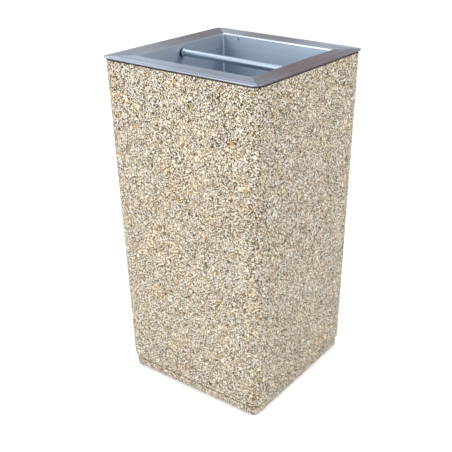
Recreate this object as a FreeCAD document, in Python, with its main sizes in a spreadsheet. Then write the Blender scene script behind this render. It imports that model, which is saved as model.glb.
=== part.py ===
import FreeCAD, Part
import math
import os
import re

import Sketcher
from FreeCAD import Placement, Rotation, Vector

# A free-standing square ash and litter bin. A tapered exposed-aggregate concrete shell stands on a
# recessed plinth with rubber feet. A folded stainless steel liner hangs in it by a flat mitred rim,
# and a round bar crosses its mouth. +Z is up, the front is at -Y, and the origin is on the ground
# under the middle of the bin. The bar runs along X.

# Driving dimensions in millimetres: sheet word, value, what it is. Heights are above the ground.
DIMENSIONS = [
    ("rim_side", 450, "outer side of the square rim"),
    ("rim_top", 864, "height of the rim's flat top"),
    ("rim_corner", 20, "radius of the rim's four outer corners"),
    ("rim_edge", 0.8, "rounding of the rim's outer top edge"),
    ("sheet_thick", 2.5, "thickness of the liner's sheet"),
    ("mouth_side", 332.6, "side of the liner's square mouth"),
    ("mouth_bend", 4, "outer bend radius between the rim and a wall"),
    ("liner_bottom", 544, "height of the liner walls' lower edges"),
    ("rim_gap", 3, "shadow gap between the rim and the concrete"),
    ("shell_top", 447, "side of the shell at its top"),
    ("shell_base", 427, "side of the shell at its underside"),
    ("shell_corner", 28, "radius of the shell's four upright corners"),
    ("shell_edge_top", 3, "rounding of the shell's top edges"),
    ("shell_edge_base", 6, "rounding of the shell's lower edge"),
    ("cavity_top", 360, "side of the shell's cavity at its mouth"),
    ("cavity_base", 330, "side of the shell's cavity at its floor"),
    ("cavity_corner", 12, "radius of the cavity's upright corners"),
    ("floor_thick", 60, "thickness of the shell's floor"),
    ("foot_height", 6, "height of a rubber foot"),
    ("foot_radius", 12, "radius of a foot where it meets the plinth"),
    ("foot_sole", 10, "radius of a foot where it meets the ground"),
    ("foot_place", 190, "distance of a foot's axis from both middle planes"),
    ("foot_recess", 5, "radius of the recess for a foot screw's head"),
    ("recess_depth", 3, "depth of that recess"),
    ("plinth_height", 24, "height of the plinth slab"),
    ("plinth_side", 418, "side of the plinth slab"),
    ("plinth_corner", 25, "radius of the plinth's corners"),
    ("plinth_edge", 2, "chamfer of the plinth's lower edge"),
    ("joint_thick", 2, "thickness of the bedding strip between plinth and shell"),
    ("joint_side", 402, "outer side of the bedding strip"),
    ("joint_width", 40, "width of the bedding strip"),
    ("sleeve_radius", 11, "outer radius of the drain sleeve"),
    ("sleeve_bore", 8, "bore radius of the drain sleeve"),
    ("bolt_place", 120, "distance of a plinth bolt from both middle planes"),
    ("bolt_radius", 5, "shank radius of a plinth bolt"),
    ("bolt_hex", 9.24, "corner radius of its hexagon head"),
    ("bolt_head", 6.4, "height of its head"),
    ("bolt_washer", 10.5, "radius of its washer"),
    ("washer_thick", 2, "thickness of its washer"),
    ("bolt_length", 45, "length of its shank"),
    ("counterbore_radius", 12, "radius of the counterbore for its head"),
    ("counterbore_depth", 9, "depth of that counterbore"),
    ("socket_radius", 9, "outer radius of a cast-in threaded socket"),
    ("socket_length", 45, "length of a cast-in socket"),
    ("screw_radius", 2.5, "shank radius of a foot screw"),
    ("screw_head", 4.5, "head radius of a foot screw"),
    ("screw_head_high", 2.5, "head height of a foot screw"),
    ("screw_grip", 14, "depth of a foot screw in the plinth"),
    ("wire_radius", 3, "radius of the reinforcing wire"),
    ("wire_cover", 24, "inset of the corner wires from the shell's faces"),
    ("wire_low", 60, "height where the corner wires begin"),
    ("wire_high", 820, "height where the corner wires end"),
    ("wire_step", 6.2, "distance between two crossing wires' axes"),
    ("hoop_over", 8, "length of a hoop wire past the corner wires"),
    ("bar_radius", 9, "outer radius of the bar across the mouth"),
    ("bar_wall", 1.5, "wall of the bar's tube"),
    ("bar_height", 842, "height of the bar's axis"),
    ("plug_length", 25, "length of a threaded plug in the bar's end"),
    ("collar_radius", 11, "outer radius of a collar on the bar's end"),
    ("collar_length", 9, "length of a collar"),
    ("fix_radius", 4, "shank radius of a bar screw"),
    ("fix_clear", 4.3, "radius of its hole in the wall"),
    ("fix_length", 20, "length of its shank past the wall's outer face"),
    ("fix_hex", 7.5, "corner radius of its hexagon head"),
    ("fix_head", 4, "height of its head"),
    ("fix_washer", 8, "radius of its washer"),
    ("fix_washer_thick", 1.6, "thickness of its washer"),
    ("pan_height", 22, "height of the liner's floor pan"),
    ("drain_radius", 4, "radius of a drain hole in the pan"),
    ("drain_step", 90, "spacing of the drain holes"),
    ("rivet_radius", 2, "shank radius of a blind rivet"),
    ("rivet_head", 3.6, "head radius of a blind rivet"),
    ("rivet_head_high", 1.2, "head height of a blind rivet"),
    ("rivet_bulb", 3, "radius of a blind rivet's formed end"),
    ("rivet_bulb_long", 3, "length of a blind rivet's formed end"),
    ("rivet_place", 90, "distance of a floor rivet from its wall's middle"),
    ("rivet_low", 553, "height of the floor rivets"),
    ("clip_place", 116, "distance of a centring clip from its wall's middle"),
    ("clip_rivet_height", 854, "height of the clips' rivets"),
    ("clip_width", 20, "width of a centring clip"),
    ("clip_thick", 1, "thickness of a centring clip"),
    ("clip_bow", 7, "how far a clip stands off the wall"),
    ("clip_tab", 12, "height of a clip's flat tab"),
    ("clip_slope", 18, "height of each sloping leg of a clip"),
    ("clip_flat", 24, "height of the clip's outer flat"),
    ("clip_toe", 5, "height of the clip's foot, which rests on the wall"),
    ("weld_radius", 3, "radius of the weld bead in an inside corner"),
    ("gusset_thick", 1.5, "thickness of a mitre gusset"),
    ("gusset_near", 170, "inner reach of a gusset from both middle planes"),
    ("gusset_far", 214, "outer reach of a gusset"),
    ("gusset_clip", 16, "corner cut off a gusset"),
    ("pad_place", 90, "distance of a rim pad from its side's middle"),
    ("pad_length", 44, "length of a rim pad"),
    ("pad_width", 16, "width of a rim pad"),
    ("pad_inset", 14, "inset of a rim pad from the shell's outer face"),
]
SIZES = {word: number for word, number, _ in DIMENSIONS}

# Heights that follow from those.
SHELL_BOTTOM = "foot_height + plinth_height + joint_thick"
SHELL_HIGH = "rim_top - sheet_thick - rim_gap"
RIM_UNDER = "rim_top - sheet_thick"
WALL_OUTSIDE = "mouth_side / 2 + sheet_thick"
SIDES = {"front": 0, "right": 90, "back": 180, "left": 270}  # each side's turn about Z, in degrees
CORNERS = {
    "front_left": (-1, -1),
    "front_right": (1, -1),
    "back_right": (1, 1),
    "back_left": (-1, 1),
}
HOOP_LEVELS = (140, 360, 580, 800)  # heights of the four reinforcing hoops
FAR = 400  # beyond any face of the bin
NEAR = 0.01  # tolerance for finding an edge by its place

doc = FreeCAD.newDocument("ash_bin")
sheet = doc.addObject("Spreadsheet::Sheet", "Sizes")
for row, (word, number, meaning) in enumerate(DIMENSIONS, start=1):
    sheet.set(f"A{row}", meaning)
    sheet.set(f"B{row}", str(number))
    sheet.setAlias(f"B{row}", word)
doc.recompute()
nodes = {}


def formula(text):
    """A formula in the sheet's words, as an expression on its cells."""
    return re.sub(r"[a-z]+(_[a-z]+)+", lambda word: "Sizes." + word.group(), str(text))


def bind(item, prop, text):
    item.setExpression(prop, formula(text))


def node(item, label):
    """Registers an object as one physical piece, or a group of identical ones."""
    item.Label = label
    nodes[label] = item
    return item


# Sketched pieces


def new_body(label):
    return node(doc.addObject("PartDesign::Body", "Body_" + label), label)


def new_sketch(body, name, plane="XY_Plane", offset="0"):
    """An empty sketch on one of the body's own planes, moved along that plane's normal."""
    sketch = body.newObject("Sketcher::SketchObject", name)
    support = [item for item in body.Origin.OriginFeatures if item.Role == plane][0]
    sketch.AttachmentSupport = [(support, "")]
    sketch.MapMode = "FlatFace"
    bind(sketch, "AttachmentOffset.Base.z", offset)
    return sketch


def hold(sketch, kind, places, text):
    """Adds a dimension to the sketch and ties it to a formula."""
    index = sketch.addConstraint(Sketcher.Constraint(kind, *places, 1.0))
    bind(sketch, f"Constraints[{index}]", text)


def polygon(sketch, points):
    """A closed outline. Each corner is held by formulas for its two distances from the origin."""
    count = len(points)
    first = sketch.GeometryCount
    turn = [2 * math.pi * i / count for i in range(count + 1)]
    rough = [Vector(100 * math.cos(angle), 100 * math.sin(angle), 0) for angle in turn]
    for i in range(count):
        sketch.addGeometry(Part.LineSegment(rough[i], rough[i + 1]))
    for i, (across, along) in enumerate(points):
        after = first + (i - 1) % count
        sketch.addConstraint(Sketcher.Constraint("Coincident", after, 2, first + i, 1))
        hold(sketch, "DistanceX", (-1, 1, first + i, 1), across)
        hold(sketch, "DistanceY", (-1, 1, first + i, 1), along)


def square(sketch, side):
    half = f"({side}) / 2"
    polygon(sketch, [(f"-{half}", f"-{half}"), (half, f"-{half}"), (half, half), (f"-{half}", half)])


def circle(sketch, across, along, radius):
    index = sketch.addGeometry(Part.Circle(Vector(1, 1, 0), Vector(0, 0, 1), 1.0))
    hold(sketch, "DistanceX", (-1, 1, index, 3), across)
    hold(sketch, "DistanceY", (-1, 1, index, 3), along)
    hold(sketch, "Radius", (index,), radius)


def pad(body, name, sketch, length):
    feature = body.newObject("PartDesign::Pad", name)
    feature.Profile = sketch
    bind(feature, "Length", length)
    sketch.Visibility = False
    doc.recompute()
    return feature


def pocket(body, name, sketch, depth, forward=True):
    """Cuts along the sketch's normal, or against it, and makes sure that it cut something."""
    before = body.Shape.Volume
    feature = body.newObject("PartDesign::Pocket", name)
    feature.Profile = sketch
    feature.Reversed = forward
    bind(feature, "Length", depth)
    doc.recompute()
    if body.Shape.Volume > before - 1:
        raise RuntimeError(f"{body.Label}: {name} cut nothing")
    return feature


def level(box, height):
    return abs(box.ZMin - height) < NEAR and abs(box.ZMax - height) < NEAR


def reach(box):
    """How far a bounding box reaches from the bin's axis, across or along."""
    return max(abs(box.XMin), abs(box.XMax), abs(box.YMin), abs(box.YMax))


def upright(box, low, high, place):
    """True for an edge or a face between two heights that reaches out to a place."""
    spans = abs(box.ZMin - low) < NEAR and abs(box.ZMax - high) < NEAR
    return spans and abs(reach(box) - place) < NEAR


def picked(kind, items, wanted):
    """The names of the edges or faces whose bounding boxes pass a test."""
    names = [f"{kind}{i}" for i, item in enumerate(items, start=1) if wanted(item.BoundBox)]
    if not names:
        raise RuntimeError(f"no {kind} found")
    return names


def round_edges(body, name, radius, wanted):
    base = body.Tip
    names = picked("Edge", base.Shape.Edges, wanted)
    feature = body.newObject("PartDesign::Fillet", name)
    feature.Base = (base, names)
    bind(feature, "Radius", radius)
    doc.recompute()
    return feature


def bevel_edges(body, name, size, wanted):
    base = body.Tip
    names = picked("Edge", base.Shape.Edges, wanted)
    feature = body.newObject("PartDesign::Chamfer", name)
    feature.Base = (base, names)
    bind(feature, "Size", size)
    doc.recompute()
    return feature


def widen(body, name, low, high, place, growth, outside):
    """Leans a square prism's or hole's four walls out, by a formula for its side's growth upwards."""
    base = body.Tip
    walls = picked("Face", base.Shape.Faces, lambda b: upright(b, low, high, place))
    floor = picked("Face", base.Shape.Faces, lambda b: level(b, low) and abs(reach(b) - place) < NEAR)
    feature = body.newObject("PartDesign::Draft", name)
    feature.Base = (base, walls)
    feature.NeutralPlane = (base, floor)
    feature.Reversed = outside
    bind(feature, "Angle", f"atan(({growth}) / 2 / {high - low})")
    doc.recompute()
    return feature


# Pieces from plain solids

TURNS = {
    "Z": Rotation(),
    "X": Rotation(Vector(0, 1, 0), 90),
    "-X": Rotation(Vector(0, 1, 0), -90),
    "Y": Rotation(Vector(1, 0, 0), -90),
    "-Y": Rotation(Vector(1, 0, 0), 90),
}


def put(item, at, along="Z"):
    """Places a solid with its base at three formulas, pointing along an axis."""
    item.Placement = Placement(Vector(), TURNS[along])
    for letter, text in zip("xyz", at):
        bind(item, f"Placement.Base.{letter}", text)
    return item


def rod(radius, length, at, along="Z"):
    item = doc.addObject("Part::Cylinder", "rod")
    bind(item, "Radius", radius)
    bind(item, "Height", length)
    return put(item, at, along)


def cone(low_radius, high_radius, height, at, along="Z"):
    item = doc.addObject("Part::Cone", "cone")
    bind(item, "Radius1", low_radius)
    bind(item, "Radius2", high_radius)
    bind(item, "Height", height)
    return put(item, at, along)


def hexagon(corner_radius, height, at, along="Z"):
    item = doc.addObject("Part::Prism", "hexagon")
    item.Polygon = 6
    bind(item, "Circumradius", corner_radius)
    bind(item, "Height", height)
    return put(item, at, along)


def block(size, at):
    item = doc.addObject("Part::Box", "block")
    for prop, text in zip(("Length", "Width", "Height"), size):
        bind(item, prop, text)
    return put(item, at)


def fuse(*items):
    item = doc.addObject("Part::MultiFuse", "fuse")
    item.Shapes = list(items)
    item.Refine = True
    return item


def cut(base, tool):
    item = doc.addObject("Part::Cut", "cut")
    item.Base = base
    item.Tool = tool
    return item


def tube(outer, inner, length, at, along="Z"):
    return cut(rod(outer, length, at, along), rod(inner, length, at, along))


def group(label, items):
    """Identical separate solids that share one node."""
    item = doc.addObject("Part::Compound", "Group_" + label)
    item.Links = items
    return node(item, label)


def at_corners(distance):
    """The four corner places at a distance from both middle planes, as formulas."""
    return [(f"{sx} * ({distance})", f"{sy} * ({distance})") for sx, sy in CORNERS.values()]


# The concrete unit


def concrete_shell():
    """A tapered square casting with a tapered cavity, a thick floor and rounded edges."""
    body = new_body("concrete_shell")
    outline = new_sketch(body, "ShellOutline", offset=SHELL_BOTTOM)
    square(outline, "shell_base")
    pad(body, "Shell", outline, f"{SHELL_HIGH} - ({SHELL_BOTTOM})")
    bottom, top = body.Shape.BoundBox.ZMin, body.Shape.BoundBox.ZMax
    widen(body, "ShellTaper", bottom, top, SIZES["shell_base"] / 2, "shell_top - shell_base", True)
    half = SIZES["shell_top"] / 2
    round_edges(body, "ShellCorners", "shell_corner", lambda b: upright(b, bottom, top, half))
    floor = bottom + SIZES["floor_thick"]
    hollow = new_sketch(body, "CavityOutline", offset=f"{SHELL_BOTTOM} + floor_thick")
    square(hollow, "cavity_base")
    pocket(body, "Cavity", hollow, f"{SHELL_HIGH} - ({SHELL_BOTTOM}) - floor_thick")
    widen(body, "CavityTaper", floor, top, SIZES["cavity_base"] / 2, "cavity_top - cavity_base", False)
    half = SIZES["cavity_top"] / 2
    round_edges(body, "CavityCorners", "cavity_corner", lambda b: upright(b, floor, top, half))
    round_edges(body, "TopEdges", "shell_edge_top", lambda b: level(b, top))
    round_edges(body, "LowerEdge", "shell_edge_base", lambda b: level(b, bottom))
    hole = new_sketch(body, "SleeveHole", offset=SHELL_BOTTOM)
    circle(hole, "0", "0", "sleeve_radius")
    pocket(body, "SleevePocket", hole, "floor_thick")
    holes = new_sketch(body, "SocketHoles", offset=SHELL_BOTTOM)
    for across, along in at_corners("bolt_place"):
        circle(holes, across, along, "socket_radius")
    pocket(body, "SocketPockets", holes, "socket_length")


def base_plinth():
    """The recessed slab under the shell, counterbored from below for its bolts."""
    body = new_body("base_plinth")
    outline = new_sketch(body, "PlinthOutline", offset="foot_height")
    square(outline, "plinth_side")
    pad(body, "Slab", outline, "plinth_height")
    low, half = SIZES["foot_height"], SIZES["plinth_side"] / 2
    high = low + SIZES["plinth_height"]
    round_edges(body, "PlinthCorners", "plinth_corner", lambda b: upright(b, low, high, half))
    bevel_edges(body, "PlinthEdge", "plinth_edge", lambda b: level(b, low))
    cuts = (
        ("Sleeve", [("0", "0")], "sleeve_radius", "plinth_height"),
        ("Counterbore", at_corners("bolt_place"), "counterbore_radius", "counterbore_depth"),
        ("Bolt", at_corners("bolt_place"), "bolt_radius", "plinth_height"),
        ("Screw", at_corners("foot_place"), "screw_radius", "screw_grip"),
    )
    for name, places, radius, depth in cuts:
        holes = new_sketch(body, name + "Holes", offset="foot_height")
        for across, along in places:
            circle(holes, across, along, radius)
        pocket(body, name + "Pockets", holes, depth)


def plinth_gasket():
    """The dark bedding strip, set back in the joint between plinth and shell."""
    body = new_body("plinth_gasket")
    outline = new_sketch(body, "StripOutline", offset="foot_height + plinth_height")
    square(outline, "joint_side")
    square(outline, "joint_side - 2 * joint_width")
    pad(body, "Strip", outline, "joint_thick")
    low, half = SIZES["foot_height"] + SIZES["plinth_height"], SIZES["joint_side"] / 2
    high = low + SIZES["joint_thick"]
    radius = "plinth_corner - (plinth_side - joint_side) / 2"
    round_edges(body, "StripCorners", radius, lambda b: upright(b, low, high, half))


def plinth_fasteners():
    """Bolts from below through the plinth into threaded sockets in the shell's floor."""
    bolts, washers, sockets = [], [], []
    seat = "foot_height + counterbore_depth"
    for x, y in at_corners("bolt_place"):
        head = hexagon("bolt_hex", "bolt_head", (x, y, f"{seat} - washer_thick - bolt_head"))
        shank = rod("bolt_radius", "bolt_length + washer_thick", (x, y, f"{seat} - washer_thick"))
        bolts.append(fuse(head, shank))
        washers.append(
            tube("bolt_washer", "bolt_radius", "washer_thick", (x, y, f"{seat} - washer_thick"))
        )
        sockets.append(tube("socket_radius", "bolt_radius", "socket_length", (x, y, SHELL_BOTTOM)))
    group("plinth_bolts", bolts)
    group("plinth_washers", washers)
    group("plinth_sockets", sockets)


def drain_sleeve():
    """A plain tube through floor and plinth, flush at both ends."""
    length = "plinth_height + joint_thick + floor_thick"
    node(tube("sleeve_radius", "sleeve_bore", length, ("0", "0", "foot_height")), "drain_sleeve")


def feet():
    """Four tapered rubber feet, each held by a screw sunk in its sole."""
    screws = []
    for label, (sx, sy) in CORNERS.items():
        x, y = f"{sx} * foot_place", f"{sy} * foot_place"
        solid = cone("foot_sole", "foot_radius", "foot_height", (x, y, "0"))
        recess = rod("foot_recess", "recess_depth", (x, y, "0"))
        hole = rod("screw_radius", "foot_height", (x, y, "0"))
        node(cut(solid, fuse(recess, hole)), "foot_" + label)
        seat = "recess_depth - screw_head_high"
        head = rod("screw_head", "screw_head_high", (x, y, seat))
        shank = rod("screw_radius", "foot_height + screw_grip - recess_depth", (x, y, "recess_depth"))
        screws.append(fuse(head, shank))
    group("foot_screws", screws)


def wire_place(height):
    """A corner wire's distance from both middle planes at a height, parallel to the shell's face."""
    rise = f"(({height}) - ({SHELL_BOTTOM})) / ({SHELL_HIGH} - ({SHELL_BOTTOM}))"
    return f"(shell_base + (shell_top - shell_base) * {rise}) / 2 - wire_cover"


def wire_number(height):
    """The same distance as a number, for the leaning corner wires."""
    bottom = SIZES["foot_height"] + SIZES["plinth_height"] + SIZES["joint_thick"]
    top = SIZES["rim_top"] - SIZES["sheet_thick"] - SIZES["rim_gap"]
    side = SIZES["shell_base"] + (SIZES["shell_top"] - SIZES["shell_base"]) * (height - bottom) / (
        top - bottom
    )
    return side / 2 - SIZES["wire_cover"]


def reinforcement():
    """Four leaning corner wires, and hoops of four straight wires that cross inside them."""
    low, high = SIZES["wire_low"], SIZES["wire_high"]
    uprights = []
    for sx, sy in CORNERS.values():
        foot = Vector(sx * wire_number(low), sy * wire_number(low), low)
        head = Vector(sx * wire_number(high), sy * wire_number(high), high)
        wire = doc.addObject("Part::Cylinder", "upright")
        bind(wire, "Radius", "wire_radius")
        wire.Height = (head - foot).Length
        wire.Placement = Placement(foot, Rotation(Vector(0, 0, 1), head - foot))
        uprights.append(wire)
    group("rebar_uprights", uprights)
    hoops = []
    for height in HOOP_LEVELS:
        corner = wire_place(height)
        reach = f"({corner} + hoop_over)"
        line = f"({corner} - wire_step)"
        for sign in (-1, 1):
            place = (f"-{reach}", f"{sign} * {line}", height)
            hoops.append(rod("wire_radius", f"2 * {reach}", place, "X"))
            place = (f"{sign} * {line}", f"-{reach}", f"{height} + wire_step")
            hoops.append(rod("wire_radius", f"2 * {reach}", place, "Y"))
    group("rebar_hoops", hoops)


# The liner unit, which lifts out


def liner_side(side, turn):
    """One folded sheet: a mitred rim member and a wall. Modelled as the front one, then turned."""
    body = new_body("liner_" + side)
    top, thick = SIZES["rim_top"], SIZES["sheet_thick"]
    half, mouth = SIZES["rim_side"] / 2, SIZES["mouth_side"] / 2
    under = top - thick
    rim = new_sketch(body, "RimOutline", offset=RIM_UNDER)
    square(rim, "rim_side")
    pad(body, "Rim", rim, "sheet_thick")
    round_edges(body, "RimCorners", "rim_corner", lambda b: upright(b, under, top, half))
    walls = new_sketch(body, "WallOutside", offset="liner_bottom")
    square(walls, f"2 * ({WALL_OUTSIDE})")
    pad(body, "Walls", walls, f"{RIM_UNDER} - liner_bottom + sheet_thick / 2")
    opening = new_sketch(body, "WallInside", offset="liner_bottom")
    square(opening, "mouth_side")
    pocket(body, "Mouth", opening, "rim_top - liner_bottom")
    wedge = new_sketch(body, "MitreCut", offset="liner_bottom")
    polygon(wedge, [("0", "0"), (FAR, -FAR), (FAR, FAR), (-FAR, FAR), (-FAR, -FAR)])
    pocket(body, "Mitre", wedge, "rim_top - liner_bottom")
    bends = (
        ("RimEdge", "rim_edge", top, half),
        ("MouthBend", "mouth_bend", top, mouth),
        ("BendInside", "mouth_bend - sheet_thick", under, mouth + thick),
    )
    for name, radius, height, place in bends:
        round_edges(body, name, radius, lambda b: level(b, height) and abs(b.YMin + place) < NEAR)
    drill = [("-rivet_place", "rivet_low", "rivet_radius"), ("rivet_place", "rivet_low", "rivet_radius")]
    if side in ("left", "right"):
        drill.append(("0", "bar_height", "fix_clear"))
    else:
        drill.append(("clip_place", "clip_rivet_height", "rivet_radius"))
    holes = new_sketch(body, "WallHoles", "XZ_Plane")
    for across, height, radius in drill:
        circle(holes, across, height, radius)
    pocket(body, "WallDrilling", holes, WALL_OUTSIDE)
    body.Placement = Placement(Vector(), Rotation(Vector(0, 0, 1), turn))


def liner_floor():
    """An inverted pan: its edges turn down inside the walls, so the floor stands clear of them."""
    body = new_body("liner_floor")
    outside = new_sketch(body, "PanOutside", offset="liner_bottom")
    square(outside, "mouth_side")
    pad(body, "Pan", outside, "pan_height")
    inside = new_sketch(body, "PanInside", offset="liner_bottom")
    square(inside, "mouth_side - 2 * sheet_thick")
    pocket(body, "Hollow", inside, "pan_height - sheet_thick")
    drains = new_sketch(body, "Drains", offset="liner_bottom")
    for column in (-1, 0, 1):
        for line in (-1, 0, 1):
            circle(drains, f"{column} * drain_step", f"{line} * drain_step", "drain_radius")
    pocket(body, "DrainHoles", drains, "pan_height")
    for plane in ("XZ_Plane", "YZ_Plane"):
        holes = new_sketch(body, "RivetHoles" + plane[:2], plane, "-mouth_side / 2")
        for sign in (-1, 1):
            circle(holes, f"{sign} * rivet_place", "rivet_low", "rivet_radius")
        pocket(body, "RivetDrilling" + plane[:2], holes, "mouth_side")


def rivet(x, y, z, outward, grip, head_inside):
    """A blind rivet through a stack of sheets, from the wall's face that takes its head."""
    letter, sign = outward[-1], -1 if outward[0] == "-" else 1
    inward = letter if sign < 0 else "-" + letter
    along = outward if head_inside else inward
    step = sign if head_inside else -sign

    def on(distance):
        """The rivet's axis point at a distance along its shank."""
        shifted = {"X": (f"{x} + {step} * ({distance})", y, z), "Y": (x, f"{y} + {step} * ({distance})", z)}
        return shifted[letter]

    head = cone("rivet_radius", "rivet_head", "rivet_head_high", on("-rivet_head_high"), along)
    shank = rod("rivet_radius", grip, on("0"), along)
    bulb = rod("rivet_bulb", "rivet_bulb_long", on(grip), along)
    return fuse(head, shank, bulb)


def liner_rivets():
    """Rivets of the floor pan, heads outside, and of the clips, heads inside."""
    floor = []
    for sign in (-1, 1):
        for place in ("-rivet_place", "rivet_place"):
            face, grip = f"{sign} * ({WALL_OUTSIDE})", "2 * sheet_thick"
            name = "-" if sign < 0 else ""
            floor.append(rivet(face, place, "rivet_low", name + "X", grip, False))
            floor.append(rivet(place, face, "rivet_low", name + "Y", grip, False))
    group("floor_rivets", floor)
    clips = []
    for sign, outward in ((-1, "-Y"), (1, "Y")):
        place, face = f"{-sign} * clip_place", f"{sign} * mouth_side / 2"
        clips.append(
            rivet(place, face, "clip_rivet_height", outward, "sheet_thick + clip_thick", True)
        )
    group("clip_rivets", clips)


def centring_clip():
    """A bowed spring strip on the outside of a wall, which keeps the liner central in the shell."""
    body = doc.addObject("PartDesign::Body", "Body_clip")
    side = new_sketch(body, "ClipSide", "YZ_Plane", "clip_place - clip_width / 2")
    wall, out = f"-({WALL_OUTSIDE})", f"-({WALL_OUTSIDE}) - clip_bow"
    top = "clip_rivet_height + clip_tab / 2"
    heights = [top, f"{top} - clip_tab", f"{top} - clip_tab - clip_slope"]
    heights.append(f"{heights[2]} - clip_flat")
    heights.append(f"{heights[3]} - clip_slope")
    heights.append(f"{heights[4]} - clip_toe")
    near = [wall, wall, out, out, wall, wall]
    inner = list(zip(near, heights))
    outer = [(f"{across} - clip_thick", height) for across, height in reversed(inner)]
    polygon(side, inner + outer)
    pad(body, "Strip", side, "clip_width")
    hole = new_sketch(body, "ClipHole", "XZ_Plane", WALL_OUTSIDE)
    circle(hole, "clip_place", "clip_rivet_height", "rivet_radius")
    pocket(body, "ClipDrilling", hole, "clip_thick")
    return body


def centring_clips():
    clips = []
    for turn in (0, 180):
        clip = centring_clip()
        clip.Placement = Placement(Vector(), Rotation(Vector(0, 0, 1), turn))
        clips.append(clip)
    group("centring_clips", clips)


def corner_welds():
    """A quarter-round bead up each inside corner, from the floor pan to the rim's bend."""
    beads = []
    low = "liner_bottom + pan_height"
    for i, (x, y) in enumerate(at_corners("mouth_side / 2")):
        bead = rod("weld_radius", f"rim_top - mouth_bend - ({low})", (x, y, low))
        bead.Angle = 90
        bead.Placement.Rotation = Rotation(Vector(0, 0, 1), 90 * i)
        beads.append(bead)
    group("corner_welds", beads)


def mitre_gussets():
    """A plate under each mitre of the rim, with its outer corner cut off."""
    plates = []
    for turn in SIDES.values():
        body = doc.addObject("PartDesign::Body", "Body_gusset")
        outline = new_sketch(body, "GussetOutline", offset=f"{RIM_UNDER} - gusset_thick")
        near, far, clip = "gusset_near", "gusset_far", "gusset_far - gusset_clip"
        polygon(outline, [(near, near), (far, near), (far, clip), (clip, far), (near, far)])
        pad(body, "Plate", outline, "gusset_thick")
        body.Placement = Placement(Vector(), Rotation(Vector(0, 0, 1), turn))
        plates.append(body)
    group("mitre_gussets", plates)


def rim_pads():
    """Rubber blocks under the rim, two to a side, which stand on the shell's top."""
    pads = []
    height = f"{RIM_UNDER} - ({SHELL_HIGH})"
    for sign in (-1, 1):
        near = "-pad_width / 2"
        middle = f"{sign} * (shell_top / 2 - pad_inset - pad_width / 2)"
        for place in ("-pad_place", "pad_place"):
            start = f"{place} - pad_length / 2"
            pads.append(
                block(("pad_length", "pad_width", height), (start, f"{middle} {near}", SHELL_HIGH))
            )
            pads.append(
                block(("pad_width", "pad_length", height), (f"{middle} {near}", start, SHELL_HIGH))
            )
    group("rim_pads", pads)


def lift_bar():
    """The tube across the mouth, with its plugs, collars, screws and washers."""
    start = ("-mouth_side / 2", "0", "bar_height")
    node(tube("bar_radius", "bar_radius - bar_wall", "mouth_side", start, "X"), "lift_bar")
    plugs, collars, screws, washers = [], [], [], []
    for sign, outward, inward in ((-1, "-X", "X"), (1, "X", "-X")):
        end = (f"{sign} * mouth_side / 2", "0", "bar_height")
        seat = (f"{sign} * ({WALL_OUTSIDE})", "0", "bar_height")
        back = (f"{sign} * ({WALL_OUTSIDE} + fix_washer_thick)", "0", "bar_height")
        plugs.append(tube("bar_radius - bar_wall", "fix_radius", "plug_length", end, inward))
        collars.append(tube("collar_radius", "bar_radius", "collar_length", end, inward))
        head = hexagon("fix_hex", "fix_head", back, outward)
        screws.append(fuse(head, rod("fix_radius", "fix_length + fix_washer_thick", back, inward)))
        washers.append(tube("fix_washer", "fix_radius", "fix_washer_thick", seat, outward))
    group("bar_plugs", plugs)
    group("bar_collars", collars)
    group("bar_screws", screws)
    group("bar_washers", washers)


def check_and_write():
    """Stops on any failed object or bad shape, and then writes one file for each node."""
    doc.recompute()
    for item in doc.Objects:
        if "Invalid" in item.State or "Error" in item.State:
            raise RuntimeError(f"{item.Label}: {item.State}")
    for label, item in nodes.items():
        if item.Shape.isNull() or not item.Shape.isValid() or not item.Shape.Solids:
            raise RuntimeError(f"{label}: bad shape")
    os.makedirs("parts", exist_ok=True)
    for label, item in nodes.items():
        item.Shape.exportStep(f"parts/{label}.step")
        print(f"{label}: {len(item.Shape.Solids)} solids, {item.Shape.Volume:.0f} mm3")


concrete_shell()
base_plinth()
plinth_gasket()
plinth_fasteners()
drain_sleeve()
feet()
reinforcement()
for side, turn in SIDES.items():
    liner_side(side, turn)
liner_floor()
liner_rivets()
centring_clips()
corner_welds()
mitre_gussets()
rim_pads()
lift_bar()
check_and_write()
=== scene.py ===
import math

import bpy
import numpy as np
from mathutils import Matrix, Vector
from mathutils.geometry import tessellate_polygon


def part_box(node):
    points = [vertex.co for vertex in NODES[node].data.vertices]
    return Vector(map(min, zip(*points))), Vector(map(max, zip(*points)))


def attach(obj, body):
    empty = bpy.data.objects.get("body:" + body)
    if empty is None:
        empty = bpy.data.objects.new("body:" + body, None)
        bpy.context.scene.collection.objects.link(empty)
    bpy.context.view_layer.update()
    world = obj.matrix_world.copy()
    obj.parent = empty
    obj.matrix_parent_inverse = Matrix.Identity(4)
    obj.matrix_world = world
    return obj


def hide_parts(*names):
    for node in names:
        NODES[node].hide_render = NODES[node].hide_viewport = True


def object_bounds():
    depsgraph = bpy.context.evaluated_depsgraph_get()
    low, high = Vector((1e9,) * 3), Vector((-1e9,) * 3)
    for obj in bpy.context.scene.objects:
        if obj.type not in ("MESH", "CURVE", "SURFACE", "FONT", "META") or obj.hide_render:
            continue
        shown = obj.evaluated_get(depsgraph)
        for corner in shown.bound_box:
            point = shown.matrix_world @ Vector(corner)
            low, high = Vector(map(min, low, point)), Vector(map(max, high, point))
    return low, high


# The looks of a square ash and litter bin: a tapered shell of exposed aggregate on a plinth, and a
# brushed steel liner that lifts out. Metres throughout, +Z up, the front at -Y.

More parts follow.
